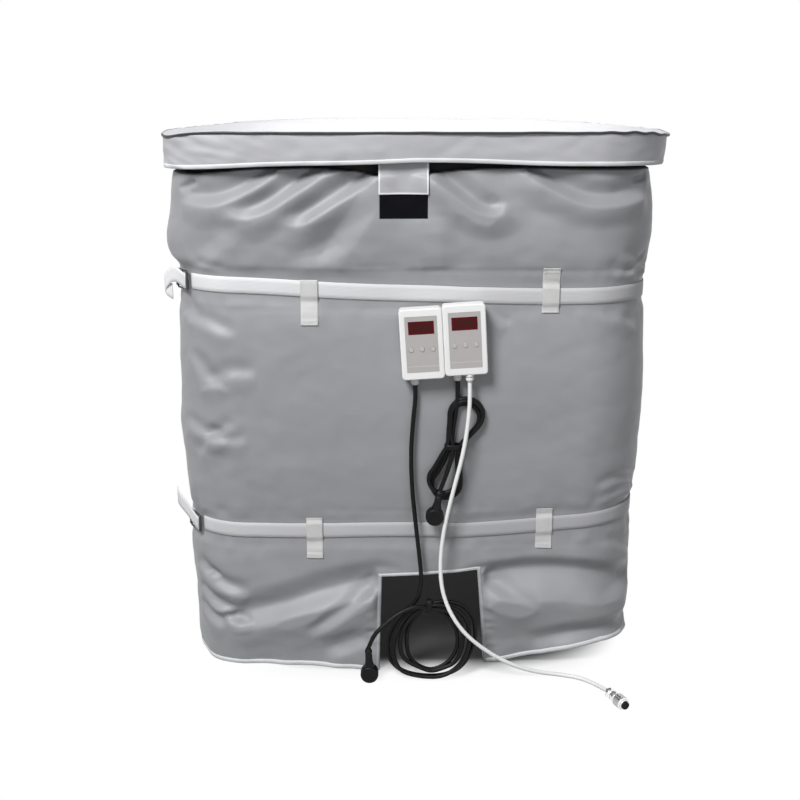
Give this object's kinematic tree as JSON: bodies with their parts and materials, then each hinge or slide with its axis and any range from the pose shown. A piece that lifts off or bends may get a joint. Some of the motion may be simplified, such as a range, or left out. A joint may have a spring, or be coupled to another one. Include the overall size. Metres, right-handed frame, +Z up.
{
  "type": "tote heating blanket",
  "caption": "Padded electric heating jacket for a square tote: lid cap, two buckled straps, outlet cut-out, clip-on temperature controllers, cords with plugs and a round connector.",
  "frame": {"origin": "middle of the footprint, on the ground", "axes": "+Z up, the front with the controllers faces -Y, +X to the right as seen from the front"},
  "size_m": [0.9542, 1.4695, 1.0545],
  "materials": {
    "cover_fabric": "satin",
    "lid_fabric": "satin",
    "lining_fabric": "matt",
    "wadding": "matt",
    "binding_tape": "satin",
    "strap_webbing": "satin",
    "loop_fabric": "satin",
    "tail_webbing": "matt",
    "hook_tape": "matt",
    "piping": "satin",
    "wire_silicone": "satin",
    "sensor_metal": "brushed",
    "buckle_wire": "satin",
    "case_white": "gloss",
    "gland_white": "gloss",
    "panel_grey": "matt",
    "display_red": "gloss",
    "button_silver": "satin",
    "board_green": "satin",
    "screw_steel": "satin",
    "black_cord": "satin",
    "black_plastic": "satin",
    "white_cord": "satin",
    "connector_metal": "polished"
  },
  "bodies": {
    "jacket": {"outer_cover": "cover_fabric", "inner_lining": "lining_fabric", "insulation": "wadding", "hem_binding": "binding_tape", "cutout_binding": "binding_tape", "top_binding": "binding_tape", "lower_heating_wire": "wire_silicone", "upper_heating_wire": "wire_silicone", "temperature_sensors": "sensor_metal", "controller_leads": "wire_silicone", "closing_hook_strip": "hook_tape", "closing_flap": "cover_fabric", "loop_patch": "hook_tape", "upper_strap": "strap_webbing", "lower_strap": "strap_webbing", "belt_loops": "loop_fabric", "upper_buckle": "buckle_wire", "upper_strap_tail": "tail_webbing", "lower_buckle": "buckle_wire", "lower_strap_tail": "tail_webbing", "case_screws": "screw_steel", "controller_pads": "hook_tape", "left_coil": "black_cord", "left_plug": "black_plastic", "right_plug": "black_plastic", "right_hank": "black_cord", "left_cord": "black_cord", "left_cord_tail": "black_cord", "right_cord": "black_cord", "sensor_cord": "white_cord", "connector_shell": "connector_metal", "connector_insert": "black_plastic", "cord_ties": "hook_tape", "left_rear_case": "case_white", "left_front_case": "case_white", "left_panel": "panel_grey", "left_circuit_board": "board_green", "left_display_window": "display_red", "left_mains_gland": "gland_white", "right_rear_case": "case_white", "right_front_case": "case_white", "right_panel": "panel_grey", "right_circuit_board": "board_green", "right_display_window": "display_red", "right_mains_gland": "gland_white", "right_sensor_gland": "gland_white"},
    "lid": {"lid_lining": "lining_fabric", "lid_insulation": "wadding", "lid_cover": "lid_fabric", "lid_hem_binding": "binding_tape", "lid_piping": "piping", "lid_tab": "lid_fabric", "lid_tab_hook": "hook_tape"},
    "left_left_button": {"left_left_button": "button_silver"},
    "left_middle_button": {"left_middle_button": "button_silver"},
    "left_right_button": {"left_right_button": "button_silver"},
    "right_left_button": {"right_left_button": "button_silver"},
    "right_middle_button": {"right_middle_button": "button_silver"},
    "right_right_button": {"right_right_button": "button_silver"},
    "coupling_ring": {"connector_ring": "connector_metal"}
  },
  "joints": [
    {"name": "lid_lift", "type": "slide", "parent": "jacket", "child": "lid", "axis": [0, 0, 1], "range_m": [0, 0.12]},
    {"name": "left_left_button_press", "type": "slide", "parent": "jacket", "child": "left_left_button", "axis": [0, 1, 0], "range_m": [0, 0.0008], "stiffness_N_per_m": 900, "springref_m": -0.0004},
    {"name": "left_middle_button_press", "type": "slide", "parent": "jacket", "child": "left_middle_button", "axis": [0, 1, 0], "range_m": [0, 0.0008], "stiffness_N_per_m": 900, "springref_m": -0.0004},
    {"name": "left_right_button_press", "type": "slide", "parent": "jacket", "child": "left_right_button", "axis": [0, 1, 0], "range_m": [0, 0.0008], "stiffness_N_per_m": 900, "springref_m": -0.0004},
    {"name": "right_left_button_press", "type": "slide", "parent": "jacket", "child": "right_left_button", "axis": [0, 1, 0], "range_m": [0, 0.0008], "stiffness_N_per_m": 900, "springref_m": -0.0004},
    {"name": "right_middle_button_press", "type": "slide", "parent": "jacket", "child": "right_middle_button", "axis": [0, 1, 0], "range_m": [0, 0.0008], "stiffness_N_per_m": 900, "springref_m": -0.0004},
    {"name": "right_right_button_press", "type": "slide", "parent": "jacket", "child": "right_right_button", "axis": [0, 1, 0], "range_m": [0, 0.0008], "stiffness_N_per_m": 900, "springref_m": -0.0004},
    {"name": "coupling_ring_turn", "type": "hinge", "parent": "jacket", "child": "coupling_ring", "pos_m": [0.373, -0.759, 0.0125], "axis": [0.4191, -0.908, 0], "continuous": true}
  ]
}
